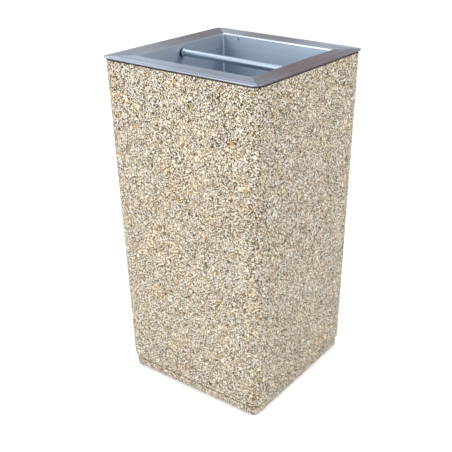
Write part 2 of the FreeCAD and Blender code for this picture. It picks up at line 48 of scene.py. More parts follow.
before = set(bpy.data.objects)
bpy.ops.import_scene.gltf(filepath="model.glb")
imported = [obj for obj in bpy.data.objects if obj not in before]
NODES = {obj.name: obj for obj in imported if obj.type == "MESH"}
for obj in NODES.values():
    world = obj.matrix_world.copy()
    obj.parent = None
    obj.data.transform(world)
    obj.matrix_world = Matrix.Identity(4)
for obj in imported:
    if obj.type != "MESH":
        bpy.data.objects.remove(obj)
CAD_LOW, CAD_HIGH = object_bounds()

# The camera: its turn, tilt and roll in degrees, its place, and its lens as shares of the picture.
YAW, PITCH, ROLL = 34.22, 26.16, 0.68
CAMERA_PLACE = Vector((1.1020, -1.4618, 1.2652))
SENSOR = 36
FOCAL_WIDTHS = 1.6837
SHIFT = (-0.0993, 0.0294)

# The castings' own sizes, as the CAD model has them. Sides are halved, because rings are centred.
SHELL_BASE_HALF = 0.2135
SHELL_CORNER = 0.028
SHELL_EDGE_TOP = 0.003
SHELL_EDGE_BASE = 0.006
CAVITY_TOP_HALF = 0.180
CAVITY_BASE_HALF = 0.165
CAVITY_CORNER = 0.012
FLOOR_THICK = 0.060
SLEEVE_RADIUS = 0.011
BOLT_PLACE = 0.120
BOLT_RADIUS = 0.005
SOCKET_RADIUS = 0.009
SOCKET_LENGTH = 0.045
COUNTERBORE_RADIUS = 0.012
COUNTERBORE_DEPTH = 0.009
FOOT_PLACE = 0.190
FOOT_SCREW_RADIUS = 0.0025
FOOT_SCREW_GRIP = 0.014
PLINTH_CORNER = 0.025
PLINTH_EDGE = 0.002
PLINTH_TOP_EDGE = 0.0015
CORNER_SIGNS = ((-1, -1), (1, -1), (1, 1), (-1, 1))

# The liner's, likewise.
MOUTH_HALF = 0.1663
SHEET = 0.0025
CUT_EDGE_FROM = 0.020  # only the cut edge lies below the flange's top this far out from the mouth
BEND_HIGHLIGHT_BAND = (0.0008, 0.0003)  # depths under that top between which the bend's painted highlight sets in
WALL_BAND = (0.0040, 0.0032)  # and the wall's

# The exposed stones.
GRID = 0.0014  # spacing of the points that carry the stones' relief
SMALL_STONE = 0.0027  # usual spacing of the small stones
LARGE_STONE = 0.0105  # usual spacing of the large ones
SMALL_RISE = 0.0009  # height of a small stone over the cement
LARGE_RISE = 0.0014  # height of a large stone over the cement
CEMENT_DEPTH = 0.0006  # how far the washed-out cement lies behind the casting's face
CEMENT_RISE = (0.00022, 0.00046)  # rises between which cement gives way to stone
SMALL_REACH = (0.54, 0.84)  # a small stone's least and most radius, as shares of the spacing
LARGE_REACH = (0.34, 0.56)  # the same for a large one
LARGE_ONLY_ABOVE = 0.86  # only large cells with a random number above this hold a stone
WOBBLE_SIZE = 0.005  # size of the noise that bends the stones' outlines
WOBBLE_REACH = 0.0018  # how far it bends them
OFF_AXIS_TURN = (0.54, 0.83, 0.31)  # radians that bring no face of the bin along a texture's axes

# The castings' meshes.
FACE, PLAIN = 0, 1  # the material slots: stones, and plain cement
SMOOTH_STEP = 0.02  # spacing of rings on the plain inner faces
BASE_STEPS = 6  # rings round the shell's lower edge
TOP_STEPS = 3  # and round its upper one
CAVITY_STEPS = (32, 8)  # points along a side of the cavity, and round a corner
CIRCLE_STEPS = 24
EDGE_RELIEF = 0.6  # share of the stones' rise that is left where the shell's top edge begins
SLIVER = 1e-14  # square metres, doubled, under which a triangle of a flat face is dropped

NOISE_RANGE = (0.3, 0.7)  # soft noise mostly lies between these
BRUSHED_RANGE = (0.36, 0.64)  # and the mixed noise of brushed sheet between these

# Sizes of the noise on the castings: in a stone, in cement, and over many stones.
VEIN_SIZE = 0.0016
SAND_SIZE = 0.0009
PATCH_SIZE = 0.045
DUST_SIZE = 0.09
AIR_HOLE_SPACING = 0.016

# Sizes of the noise on brushed sheet: scratches, soft bands and smears.
SCRATCH_SIZE = 0.0009
BAND_SIZE = 0.007
SMEAR_SIZE = 0.06

# Painted shadow under overhangs, painted shade in the gap at the collars, air holes and unpolished
# sheet, as the screen shows them.
# The dark band painted along a casting's top edge is painted shadow under what overhangs it.
OVERHANG_SHADOW = (44, 36, 32)
OVERHANG_SHADOW_WIDTH = 0.0012  # over which it sets in, up to an edge
OVERHANG_SHADOW_SHARE = 0.80
# The next three give painted shade on a collar, where it meets the liner's wall: its colour, width
# and start.
CREVICE_SHADE = (38, 40, 44)
CREVICE_SHADE_WIDTH = 0.003
CREVICE_SHADE_DEPTH = 0.0053  # how far off the liner's wall, along a collar, that painted shade begins
AIR_HOLE = (92, 86, 78)
SMEAR_SHADE = 0.92  # a smear's colour as a share of its sheet's dark tone
MILL_FINISH = ((138, 141, 144), (166, 169, 172))


def light_of(red, green, blue):
    """A screen colour, 0 to 255, as the linear light that nodes work in."""
    shares = [value / 255 for value in (red, green, blue)]
    return [s / 12.92 if s <= 0.04045 else ((s + 0.055) / 1.055) ** 2.4 for s in shares] + [1.0]


# Node trees


class Tree:
    """A node tree, with short calls that add nodes, set their inputs and link them."""

    def __init__(self, tree):
        self.tree = tree

    def add(self, kind, inputs=(), **settings):
        item = self.tree.nodes.new(kind)
        for word, value in settings.items():
            setattr(item, word, value)
        for word, value in dict(inputs).items():
            self.feed(item.inputs[word], value)
        return item

    def feed(self, socket, value):
        if isinstance(value, bpy.types.NodeSocket):
            self.tree.links.new(value, socket)
        else:
            socket.default_value = value

    def math(self, operation, *values, clamp=False):
        inputs = dict(enumerate(values))
        return self.add("ShaderNodeMath", inputs, operation=operation, use_clamp=clamp).outputs[0]

    def vector(self, operation, *values, scale=None):
        inputs = dict(enumerate(values))
        if scale is not None:
            inputs["Scale"] = scale
        return self.add("ShaderNodeVectorMath", inputs, operation=operation).outputs["Vector"]

    def scaled(self, place, factors):
        """The place with each axis multiplied by its own factor."""
        return self.vector("MULTIPLY", place, factors)

    def split(self, vector):
        return self.add("ShaderNodeSeparateXYZ", {"Vector": vector}).outputs

    def spread(self, value, low, high, start=0.0, end=1.0):
        """The value's stretch from low to high taken to start to end, and held there outside it."""
        inputs = {"Value": value, "From Min": low, "From Max": high, "To Min": start, "To Max": end}
        return self.add("ShaderNodeMapRange", inputs, clamp=True).outputs["Result"]

    def noise(self, place, size, detail=2.0, rough=0.5):
        """Soft noise about 0.5, with features of about the given size."""
        inputs = {"Vector": place, "Scale": 1 / size, "Detail": detail, "Roughness": rough}
        return self.add("ShaderNodeTexNoise", inputs).outputs[0]

    def cells(self, place, size):
        """Random cells of about the given size: how far off each one's point is, and its colour."""
        inputs = {"Vector": place, "Scale": 1 / size, "Randomness": 1.0}
        return self.add("ShaderNodeTexVoronoi", inputs, feature="F1").outputs

    def blend(self, share, first, second, mode="MIX"):
        """Two colours mixed."""
        item = self.add("ShaderNodeMix", data_type="RGBA", blend_type=mode)
        self.feed(item.inputs[0], share)
        self.feed(item.inputs[6], first)
        self.feed(item.inputs[7], second)
        return item.outputs[2]

    def ramp(self, value, stops, steps=False):
        """A colour for each value, from (value, screen colour) stops."""
        item = self.add("ShaderNodeValToRGB", {"Fac": value})
        item.color_ramp.interpolation = "CONSTANT" if steps else "LINEAR"
        marks = item.color_ramp.elements
        while len(marks) < len(stops):
            marks.new(1.0)
        for mark, (at, colour) in zip(marks, stops):
            mark.position = at
            mark.color = light_of(*colour)
        return item.outputs["Color"]


def off_axis(tree, place):
    """The place turned away from the axes, so that no face lies along a texture's own cells."""
    inputs = {"Vector": place, "Rotation": OFF_AXIS_TURN}
    return tree.add("ShaderNodeVectorRotate", inputs, rotation_type="EULER_XYZ").outputs[0]


def stones(tree, place):
    """Where the stones of the casting lie around an off-axis place: their rise in metres, two random
    numbers of the stone at that place, and masks for the large stones and for the cement between.
    The geometry and the colours are made by these same nodes, so they agree."""
    inputs = {"Vector": place, "Scale": 1 / WOBBLE_SIZE, "Detail": 1.0}
    wobble = tree.add("ShaderNodeTexNoise", inputs)
    shift = tree.vector("SUBTRACT", wobble.outputs["Color"], (0.5, 0.5, 0.5))
    place = tree.vector("ADD", place, tree.vector("SCALE", shift, scale=WOBBLE_REACH))
    small = tree.cells(place, SMALL_STONE)
    large = tree.cells(place, LARGE_STONE)
    small_random = tree.split(small["Color"])
    large_random = tree.split(large["Color"])

    def dome(distance, reach):
        ratio = tree.math("DIVIDE", distance, reach)
        return tree.math("SUBTRACT", 1.0, tree.math("MULTIPLY", ratio, ratio), clamp=True)

    small_reach = tree.spread(small_random[0], 0.0, 1.0, *SMALL_REACH)
    dome_small = tree.math("POWER", dome(small["Distance"], small_reach), 0.6)
    low = tree.math("MULTIPLY", dome_small, SMALL_RISE)
    chosen = tree.math("GREATER_THAN", large_random[2], LARGE_ONLY_ABOVE)
    large_reach = tree.spread(large_random[0], 0.0, 1.0, *LARGE_REACH)
    dome_large = tree.math("POWER", dome(large["Distance"], large_reach), 0.5)
    high = tree.math("MULTIPLY", tree.math("MULTIPLY", dome_large, chosen), LARGE_RISE)
    rise = tree.math("MAXIMUM", low, high)
    is_large = tree.math("GREATER_THAN", high, low)
    cement = tree.spread(rise, *CEMENT_RISE, 1.0, 0.0)
    random = tree.add("ShaderNodeMix", data_type="VECTOR")
    tree.feed(random.inputs[0], is_large)
    tree.feed(random.inputs[4], small["Color"])
    tree.feed(random.inputs[5], large["Color"])
    parts = tree.split(random.outputs[1])
    return {"rise": rise, "kind": parts[1], "shade": parts[2], "large": is_large, "cement": cement}


def new_material(name):
    """A material with an empty tree but for its shader and output."""
    material = bpy.data.materials.new(name)
    material.use_nodes = True
    tree = Tree(material.node_tree)
    shader = material.node_tree.nodes["Principled BSDF"]
    return material, tree, shader


def own_place(tree):
    """The place on the piece itself, which goes with the piece when it moves."""
    return tree.add("ShaderNodeTexCoord").outputs["Object"]


# Materials

# Colours by a random number of the stone, or by noise.
STONE_AND_PIT_SHADE_COLOURS = [
    (0.00, (254, 252, 243)),
    (0.26, (247, 239, 221)),
    (0.46, (228, 216, 192)),
    (0.60, (206, 191, 161)),
    (0.71, (186, 168, 131)),
    (0.79, (210, 203, 189)),
    (0.84, (192, 165, 118)),
    (0.90, (152, 124, 80)),
    # The darkest step is partly dark stones and partly painted shade, standing in for shadowed pits
    # between the stones.
    (0.955, (74, 58, 40)),
]
LARGE_COLOURS = [
    (0.00, (226, 221, 208)),
    (0.24, (227, 213, 192)),
    (0.40, (206, 194, 168)),
    (0.56, (180, 148, 100)),
    (0.74, (184, 171, 152)),
    (0.84, (146, 112, 70)),
    (0.95, (82, 62, 44)),
]
# Dark golden cement, painted darker still, near black, as shade in the gaps between the stones.
CEMENT_AND_GAP_SHADE_COLOURS = [(0.30, (24, 13, 2)), (0.55, (60, 41, 12)), (0.75, (100, 77, 36))]
PATCH_TINTS = [(0.0, (244, 244, 242)), (0.5, (247, 243, 239)), (1.0, (252, 243, 229))]
CAST_COLOURS = [(0.30, (146, 140, 130)), (0.55, (170, 164, 152)), (0.75, (188, 182, 170))]
STONE_LEVELS = (0.56, 1.12)  # how dark and how light stones of one colour get
STONE_POLISH = (0.34, 0.70)  # roughness of the glossiest and of the dullest stone
CEMENT_ROUGH = 0.92
SHELL_WASH = ((206, 200, 190), 0.05)  # its colour, and the most of it that lies anywhere
PLINTH_WASH = ((188, 184, 178), 0.35)


def aggregate(name, wash, wash_share, top):
    """Exposed pebbles in dark golden cement, painted darker still as shade in the gaps between them.
    A wash of another colour lies over some of it. A dark band along its top edge, under what
    overhangs it, is painted shadow."""
    material, tree, shader = new_material(name)
    rest = tree.add("ShaderNodeAttribute", attribute_name="place").outputs["Vector"]
    place = off_axis(tree, rest)
    field = stones(tree, place)
    small = tree.ramp(field["kind"], STONE_AND_PIT_SHADE_COLOURS, steps=True)
    large = tree.ramp(field["kind"], LARGE_COLOURS, steps=True)
    stone = tree.blend(field["large"], small, large)
    level = tree.spread(field["shade"], 0.0, 1.0, *STONE_LEVELS)
    veins = tree.spread(tree.noise(place, VEIN_SIZE, 3.0), *NOISE_RANGE, 0.90, 1.10)
    stone = tree.vector("SCALE", stone, scale=tree.math("MULTIPLY", level, veins))
    sand = tree.noise(place, SAND_SIZE, 2.0)
    surface = tree.blend(field["cement"], stone, tree.ramp(sand, CEMENT_AND_GAP_SHADE_COLOURS))
    patch = tree.spread(tree.noise(place, PATCH_SIZE, 3.0, 0.55), 0.35, 0.65)
    surface = tree.blend(1.0, surface, tree.ramp(patch, PATCH_TINTS), "MULTIPLY")
    dusty = tree.spread(tree.noise(place, DUST_SIZE, 4.0, 0.6), 0.40, 0.72, 0.0, wash_share)
    surface = tree.blend(dusty, surface, light_of(*wash))
    # Painted shadow: a dark band along the top edge, under the rim on the shell and under the shell
    # on the plinth.
    ragged = tree.math("ADD", tree.split(rest)[2], tree.math("MULTIPLY", sand, 0.002))
    overhang_shadow = tree.spread(ragged, top - OVERHANG_SHADOW_WIDTH, top, 0.0, OVERHANG_SHADOW_SHARE)
    surface = tree.blend(overhang_shadow, surface, light_of(*OVERHANG_SHADOW))
    tree.feed(shader.inputs["Base Color"], surface)
    polish = tree.spread(field["shade"], 0.0, 1.0, *STONE_POLISH)
    rough = tree.math("MAXIMUM", polish, tree.math("MULTIPLY", field["cement"], CEMENT_ROUGH))
    tree.feed(shader.inputs["Roughness"], rough)
    grit = tree.math("MULTIPLY", sand, 0.00025)
    height = tree.math("ADD", field["rise"], grit)
    bump = tree.add("ShaderNodeBump", {"Strength": 0.80, "Distance": 1.0, "Height": height})
    tree.feed(shader.inputs["Normal"], bump.outputs["Normal"])
    return material


def cast_cement():
    """The plain cast faces, where no stones show: mottled grey cement with air holes."""
    material, tree, shader = new_material("cast_cement")
    place = own_place(tree)
    cloud = tree.noise(place, 0.08, 5.0, 0.6)
    colour = tree.ramp(cloud, CAST_COLOURS)
    holes = tree.cells(place, AIR_HOLE_SPACING)
    size = tree.spread(tree.split(holes["Color"])[0], 0.75, 1.0, 0.0, 0.16)
    pit = tree.math("LESS_THAN", holes["Distance"], size)
    colour = tree.blend(pit, colour, light_of(*AIR_HOLE))
    tree.feed(shader.inputs["Base Color"], colour)
    fine = tree.noise(place, 0.0012, 3.0)
    tree.feed(shader.inputs["Roughness"], tree.spread(fine, *NOISE_RANGE, 0.78, 0.95))
    grain = tree.math("MULTIPLY", fine, 0.0002)
    height = tree.math("SUBTRACT", grain, tree.math("MULTIPLY", pit, 0.0015))
    bump = tree.add("ShaderNodeBump", {"Strength": 0.6, "Distance": 1.0, "Height": height})
    tree.feed(shader.inputs["Normal"], bump.outputs["Normal"])
    return material


def two_tone(tones):
    """Ramp stops for a dark and a light tone over brushed noise."""
    return list(zip(BRUSHED_RANGE, tones))


# For each axis of the brush lines: how they stretch the noise, and where they spread a highlight.
GRAINS = {
    "X": {"stretch": (0.01, 1.0, 1.0), "spread": (0.0, 1.0, 1.0)},
    "Y": {"stretch": (1.0, 0.01, 1.0), "spread": (1.0, 0.0, 1.0)},
}


def liner_side(tree, axis, look, place, bands, mixed, worn):
    """The further colours of a liner side over its worn flange: a painted reflection tint along a
    stretch of the flange, a painted highlight on the bend, the satin wall, whose tone is painted
    reflection, with the mill's dull grey on its hidden face, and the cut edge, whose tone is painted
    reflection too. Returns the colours and the wall's mask."""
    axes = tree.split(place)
    run, out = (axes[0], axes[1]) if axis == "X" else (axes[1], axes[0])
    from_middle = tree.math("ABSOLUTE", out)
    # Painted reflection: a tint along the flange where the room's reflection falls on it.
    away = tree.math("ABSOLUTE", tree.math("SUBTRACT", run, look["painted_reflection_middle"]))
    share = tree.spread(away, 0.25 * look["painted_reflection_reach"], look["painted_reflection_reach"], 1.0, 0.0)
    painted_reflection_share = tree.math("ADD", share, tree.spread(bands, *NOISE_RANGE, -0.4, 0.4), clamp=True)
    worn = tree.blend(painted_reflection_share, worn, light_of(*look["painted_reflection"]), "MULTIPLY")
    # Painted highlight: the bend's bright line, where the rounded sheet reflects the sky.
    turned = tree.spread(axes[2], *[CAD_HIGH.z - depth for depth in BEND_HIGHLIGHT_BAND], 1.0, 0.0)
    worn = tree.blend(turned, worn, light_of(*look["bend"]))
    below = tree.spread(axes[2], *[CAD_HIGH.z - depth for depth in WALL_BAND], 1.0, 0.0)
    satin = tree.ramp(mixed, two_tone(look["wall"]))
    hidden = tree.math("GREATER_THAN", from_middle, MOUTH_HALF + SHEET / 2)
    satin = tree.blend(hidden, satin, tree.ramp(mixed, two_tone(MILL_FINISH)))
    worn = tree.blend(below, worn, satin)
    # The cut edge's tone is painted reflection, dark on the right side.
    outer = tree.math("GREATER_THAN", from_middle, MOUTH_HALF + CUT_EDGE_FROM)
    cut = tree.math("MULTIPLY", turned, outer)
    return tree.blend(cut, worn, light_of(*look["edge"])), below


def brushed_steel(name, axis, tones, rough=0.30, anisotropy=0.75, look=None):
    """Stainless sheet brushed along one axis: fine scratches, wider soft bands and dulled patches.
    Look is an entry of LINER_SIDES, for a sheet that is a side of the liner."""
    material, tree, shader = new_material(name)
    place = own_place(tree)
    along = tree.scaled(place, GRAINS[axis]["stretch"])
    lines = tree.noise(along, SCRATCH_SIZE, 3.0, 0.6)
    bands = tree.noise(along, BAND_SIZE, 2.0, 0.5)
    cloud = tree.noise(place, SMEAR_SIZE, 3.0, 0.55)
    mixed = tree.math("ADD", tree.math("MULTIPLY", lines, 0.35), tree.math("MULTIPLY", bands, 0.65))
    worn = tree.ramp(mixed, two_tone(tones))
    smear = tree.spread(cloud, 0.35, 0.70, 0.0, 0.22)
    scratched = tree.spread(lines, *NOISE_RANGE, rough - 0.05, rough + 0.06)
    dulled = tree.math("ADD", scratched, tree.math("MULTIPLY", smear, 0.25))
    worn = tree.blend(smear, worn, light_of(*[SMEAR_SHADE * value for value in tones[0]]))
    if look:
        worn, wall = liner_side(tree, axis, look, place, bands, mixed, worn)
        dulled = tree.math("ADD", dulled, tree.math("MULTIPLY", wall, 0.22))
    tree.feed(shader.inputs["Base Color"], worn)
    shader.inputs["Metallic"].default_value = 1.0
    tree.feed(shader.inputs["Roughness"], dulled)
    shader.inputs["Anisotropic"].default_value = anisotropy
    spread = tree.add("ShaderNodeCombineXYZ", dict(enumerate(GRAINS[axis]["spread"])))
    tree.feed(shader.inputs["Tangent"], spread.outputs["Vector"])
    bump = tree.add("ShaderNodeBump", {"Strength": 0.10, "Distance": 0.00004, "Height": mixed})
    tree.feed(shader.inputs["Normal"], bump.outputs["Normal"])
    return material


def metal(name, dark, light, rough, grain=0.0011, bump_height=0.00003, shade_from=None):
    """A plain metal with fine mottling, for collars, rivets, weld, zinc and wire. Its last argument,
    where given, is how far from the middle plane, along X, painted shade begins to darken it: the
    shadow in the gap where a collar meets the liner's wall."""
    material, tree, shader = new_material(name)
    place = own_place(tree)
    fine = tree.noise(place, grain, 3.0, 0.6)
    cloud = tree.noise(place, 0.02, 3.0)
    mixed = tree.math("ADD", tree.math("MULTIPLY", fine, 0.5), tree.math("MULTIPLY", cloud, 0.5))
    colour = tree.ramp(mixed, [(0.35, dark), (0.65, light)])
    if shade_from:
        # Painted shade, darkening the metal towards the liner's wall.
        away = tree.math("ABSOLUTE", tree.split(place)[0])
        ragged = tree.math("ADD", away, tree.math("MULTIPLY", fine, 0.002))
        dirt = tree.spread(ragged, shade_from, shade_from + CREVICE_SHADE_WIDTH)
        colour = tree.blend(dirt, colour, light_of(*CREVICE_SHADE))
    tree.feed(shader.inputs["Base Color"], colour)
    shader.inputs["Metallic"].default_value = 1.0
    scratched = tree.spread(mixed, *NOISE_RANGE, rough - 0.06, rough + 0.08)
    tree.feed(shader.inputs["Roughness"], scratched)
    bump = tree.add("ShaderNodeBump", {"Strength": 0.4, "Distance": bump_height, "Height": fine})
    tree.feed(shader.inputs["Normal"], bump.outputs["Normal"])
    return material


def dull(name, dark, light, rough, grain=0.0015, bump_height=0.0001):
    """Rubber or plastic: a faint mottling with a matt grain."""
    material, tree, shader = new_material(name)
    place = own_place(tree)
    fine = tree.noise(place, grain, 3.0, 0.6)
    colour = tree.ramp(fine, list(zip(NOISE_RANGE, (dark, light))))
    tree.feed(shader.inputs["Base Color"], colour)
    matt = tree.spread(fine, *NOISE_RANGE, rough - 0.06, rough + 0.06)
    tree.feed(shader.inputs["Roughness"], matt)
    bump = tree.add("ShaderNodeBump", {"Strength": 0.4, "Distance": bump_height, "Height": fine})
    tree.feed(shader.inputs["Normal"], bump.outputs["Normal"])
    return material


# The casting


def ring(half, corner, height, side_steps, corner_steps):
    """A rounded square's points, anticlockwise from the start of its front side."""
    flat = half - corner
    points = []
    for turn in range(4):
        angle = math.pi / 2 * turn
        across = np.array((math.cos(angle), math.sin(angle)))
        out = np.array((math.sin(angle), -math.cos(angle)))
        for step in range(side_steps):
            points.append(out * half + across * flat * (2 * step / side_steps - 1))
        for step in range(corner_steps):
            bend = math.pi / 2 * step / corner_steps
            middle = (out + across) * flat
            points.append(middle + corner * (out * math.cos(bend) + across * math.sin(bend)))
    flat_points = np.array(points)
    return np.column_stack((flat_points, np.full(len(flat_points), height)))


def circle(across, along, radius, height):
    turns = 2 * np.pi * np.arange(CIRCLE_STEPS) / CIRCLE_STEPS
    x, y = across + radius * np.cos(turns), along + radius * np.sin(turns)
    return np.column_stack((x, y, np.full(CIRCLE_STEPS, height)))


class Casting:
    """A closed mesh put together from stacks of rings and flat faces with holes."""

    def __init__(self):
        self.points, self.faces, self.maps, self.slots, self.relief = [], [], [], [], []
        self.count = 0

    def add_ring(self, points, relief=0.0):
        first = self.count
        self.points.append(points)
        self.relief.append(np.full(len(points), relief))
        self.count += len(points)
        return np.arange(first, self.count)

    def wall(self, rings, room, slot, inward=False):
        """Quads between rings of one size. Room is (left, low, width, height) on the colour map."""
        left, low, width, height = room
        for index, (below, above) in enumerate(zip(rings, rings[1:])):
            count = len(below)
            here, there = np.arange(count), (np.arange(count) + 1) % count
            quads = np.column_stack((below[here], below[there], above[there], above[here]))
            start, end = left + width * here / count, left + width * (here + 1) / count
            base = np.full(count, low + height * index / (len(rings) - 1))
            top = np.full(count, low + height * (index + 1) / (len(rings) - 1))
            corners = ((start, base), (end, base), (end, top), (start, top))
            spots = np.stack([np.column_stack(corner) for corner in corners], axis=1)
            if inward:
                quads, spots = quads[:, ::-1], spots[:, ::-1]
            self.faces.append(quads)
            self.maps.append(spots)
            self.slots.append(np.full(count, slot))

    def cap(self, loops, room, slot, up=True):
        """A flat face bounded by its first loop, with the other loops as holes in it."""
        points = np.concatenate(self.points)
        order = np.concatenate(loops)
        triangles = tessellate_polygon([[Vector(points[i]) for i in loop] for loop in loops])
        corners = order[np.array(triangles)]
        a, b, c = (points[corners[:, k]][:, :2] for k in range(3))
        facing = (b - a)[:, 0] * (c - a)[:, 1] - (b - a)[:, 1] * (c - a)[:, 0]
        whole = np.abs(facing) > SLIVER
        corners, facing = corners[whole], facing[whole]
        wrong = (facing > 0) != up
        corners[wrong] = corners[wrong][:, ::-1]
        left, low, width, _ = room
        reach = np.abs(points[loops[0]][:, :2]).max()
        spots = (points[corners][:, :, :2] / reach + 1) / 2 * width + (left, low)
        self.faces.append(corners)
        self.maps.append(spots)
        self.slots.append(np.full(len(corners), slot))

    def bore(self, across, along, stations, room, slot):
        """A round hole's wall through (radius, height) stations, going up. Returns its end loops."""
        rings = [self.add_ring(circle(across, along, radius, height)) for radius, height in stations]
        self.wall(rings, room, slot, inward=True)
        return rings[0], rings[-1]

    def build(self, name, materials):
        mesh = bpy.data.meshes.new(name)
        points = np.concatenate(self.points)
        counts = np.concatenate([np.full(len(faces), faces.shape[1]) for faces in self.faces])
        corners = np.concatenate([faces.ravel() for faces in self.faces])
        mesh.vertices.add(len(points))
        mesh.vertices.foreach_set("co", points.ravel())
        mesh.loops.add(len(corners))
        mesh.loops.foreach_set("vertex_index", corners)
        mesh.polygons.add(len(counts))
        mesh.polygons.foreach_set("loop_start", np.concatenate(((0,), np.cumsum(counts)[:-1])))
        slots = np.concatenate(self.slots)
        mesh.polygons.foreach_set("material_index", slots)
        mesh.polygons.foreach_set("use_smooth", counts == 4)
        mesh.update(calc_edges=True)
        layer = mesh.uv_layers.new(name="OFBake")
        layer.uv.foreach_set("vector", np.concatenate([m.reshape(-1, 2) for m in self.maps]).ravel())
        relief = mesh.attributes.new("relief", "FLOAT", "POINT")
        relief.data.foreach_set("value", np.concatenate(self.relief))
        for material in materials:
            mesh.materials.append(material)
        mesh.validate()
        item = bpy.data.objects.new(name, mesh)
        bpy.context.scene.collection.objects.link(item)
        return item


def rounding(radius, steps, base):
    """How far in and how high a rounded edge's rings lie, from its flat face to its wall."""
    turns = [math.pi / 2 * step / steps for step in range(steps)]
    return [(radius * (1 - math.sin(turn)), base + radius * (1 - math.cos(turn))) for turn in turns]


def raise_stones(item):
    """Moves the face's points out to the stones' rise, and keeps where each point was."""
    group = bpy.data.node_groups.new("raise_stones", "GeometryNodeTree")
    group.interface.new_socket("Geometry", in_out="INPUT", socket_type="NodeSocketGeometry")
    group.interface.new_socket("Geometry", in_out="OUTPUT", socket_type="NodeSocketGeometry")
    tree = Tree(group)
    start, end = tree.add("NodeGroupInput"), tree.add("NodeGroupOutput")
    place = tree.add("GeometryNodeInputPosition").outputs[0]
    kept = tree.add("GeometryNodeStoreNamedAttribute", data_type="FLOAT_VECTOR", domain="POINT")
    tree.feed(kept.inputs["Geometry"], start.outputs[0])
    tree.feed(kept.inputs["Name"], "place")
    tree.feed(kept.inputs["Value"], place)
    rise = tree.math("SUBTRACT", stones(tree, off_axis(tree, place))["rise"], CEMENT_DEPTH)
    share = tree.add("GeometryNodeInputNamedAttribute", {"Name": "relief"}, data_type="FLOAT")
    normal = tree.add("GeometryNodeInputNormal").outputs[0]
    offset = tree.vector("SCALE", normal, scale=tree.math("MULTIPLY", rise, share.outputs[0]))
    moved = tree.add("GeometryNodeSetPosition", {"Geometry": kept.outputs[0], "Offset": offset})
    tree.feed(end.inputs[0], moved.outputs[0])
    item.modifiers.new("stones", "NODES").node_group = group
    depsgraph = bpy.context.evaluated_depsgraph_get()
    made = bpy.data.meshes.new_from_object(
        item.evaluated_get(depsgraph), preserve_all_data_layers=True, depsgraph=depsgraph
    )
    item.modifiers.clear()
    item.data = made


def make_shell(face, plain):
    """The tapered casting: stones outside, plain cast faces on top, inside and underneath."""
    rooms = {
        "outside": (0.0, 0.0, 1.0, 0.60),
        "inside": (0.0, 0.62, 0.55, 0.38),
        "top": (0.57, 0.62, 0.19, 0.19),
        "floor": (0.78, 0.62, 0.17, 0.17),
        "base": (0.57, 0.82, 0.17, 0.17),
        "bores": (0.9, 0.9, 0.1, 0.1),
        "bore_ends": (0.9, 0.8, 0.05, 0.05),
    }
    cast = Casting()
    low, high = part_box("concrete_shell")
    floor = low.z + FLOOR_THICK
    side_steps = round(2 * (high.x - SHELL_CORNER) / GRID)
    corner_steps = round(math.pi / 2 * SHELL_CORNER / GRID)

    def outer(inset, height, relief):
        taper = (high.x - SHELL_BASE_HALF) * (height - low.z) / (high.z - low.z)
        half = SHELL_BASE_HALF + taper - inset
        points = ring(half, SHELL_CORNER - inset, height, side_steps, corner_steps)
        return cast.add_ring(points, relief)

    rings = []
    for step, (inset, height) in enumerate(rounding(SHELL_EDGE_BASE, BASE_STEPS, low.z)):
        rings.append(outer(inset, height, step / BASE_STEPS))
    start, stop = low.z + SHELL_EDGE_BASE, high.z - SHELL_EDGE_TOP
    count = round((stop - start) / GRID)
    for step in range(count + 1):
        rings.append(outer(0.0, start + (stop - start) * step / count, 1.0))
    edge = rounding(SHELL_EDGE_TOP, TOP_STEPS, low.z)
    top_edge = [(inset, high.z + low.z - height) for inset, height in edge]
    for step, (inset, height) in enumerate(reversed(top_edge)):
        rings.append(outer(inset, height, EDGE_RELIEF - EDGE_RELIEF * (step + 1) / TOP_STEPS))
    cast.wall(rings, rooms["outside"], FACE)

    def inner(outset, height):
        rise = (height - floor) / (high.z - floor)
        half = CAVITY_BASE_HALF + (CAVITY_TOP_HALF - CAVITY_BASE_HALF) * rise + outset
        return cast.add_ring(ring(half, CAVITY_CORNER + outset, height, *CAVITY_STEPS))

    count = round((stop - floor) / SMOOTH_STEP)
    inside = [inner(0.0, floor + (stop - floor) * step / count) for step in range(count + 1)]
    inside += [inner(outset, height) for outset, height in reversed(top_edge)]
    cast.wall(inside, rooms["inside"], PLAIN, inward=True)
    stations = ((SLEEVE_RADIUS, low.z), (SLEEVE_RADIUS, floor))
    bottom, top = cast.bore(0, 0, stations, rooms["bores"], PLAIN)
    holes = [bottom]
    for sx, sy in CORNER_SIGNS:
        stations = ((SOCKET_RADIUS, low.z), (SOCKET_RADIUS, low.z + SOCKET_LENGTH))
        mouth, end = cast.bore(sx * BOLT_PLACE, sy * BOLT_PLACE, stations, rooms["bores"], PLAIN)
        cast.cap([end], rooms["bore_ends"], PLAIN, up=False)
        holes.append(mouth)
    cast.cap([rings[-1], inside[-1]], rooms["top"], PLAIN)
    cast.cap([inside[0], top], rooms["floor"], PLAIN)
    cast.cap([rings[0]] + holes, rooms["base"], PLAIN, up=False)
    item = cast.build("shell_casting", [face, plain])
    raise_stones(item)
    return item


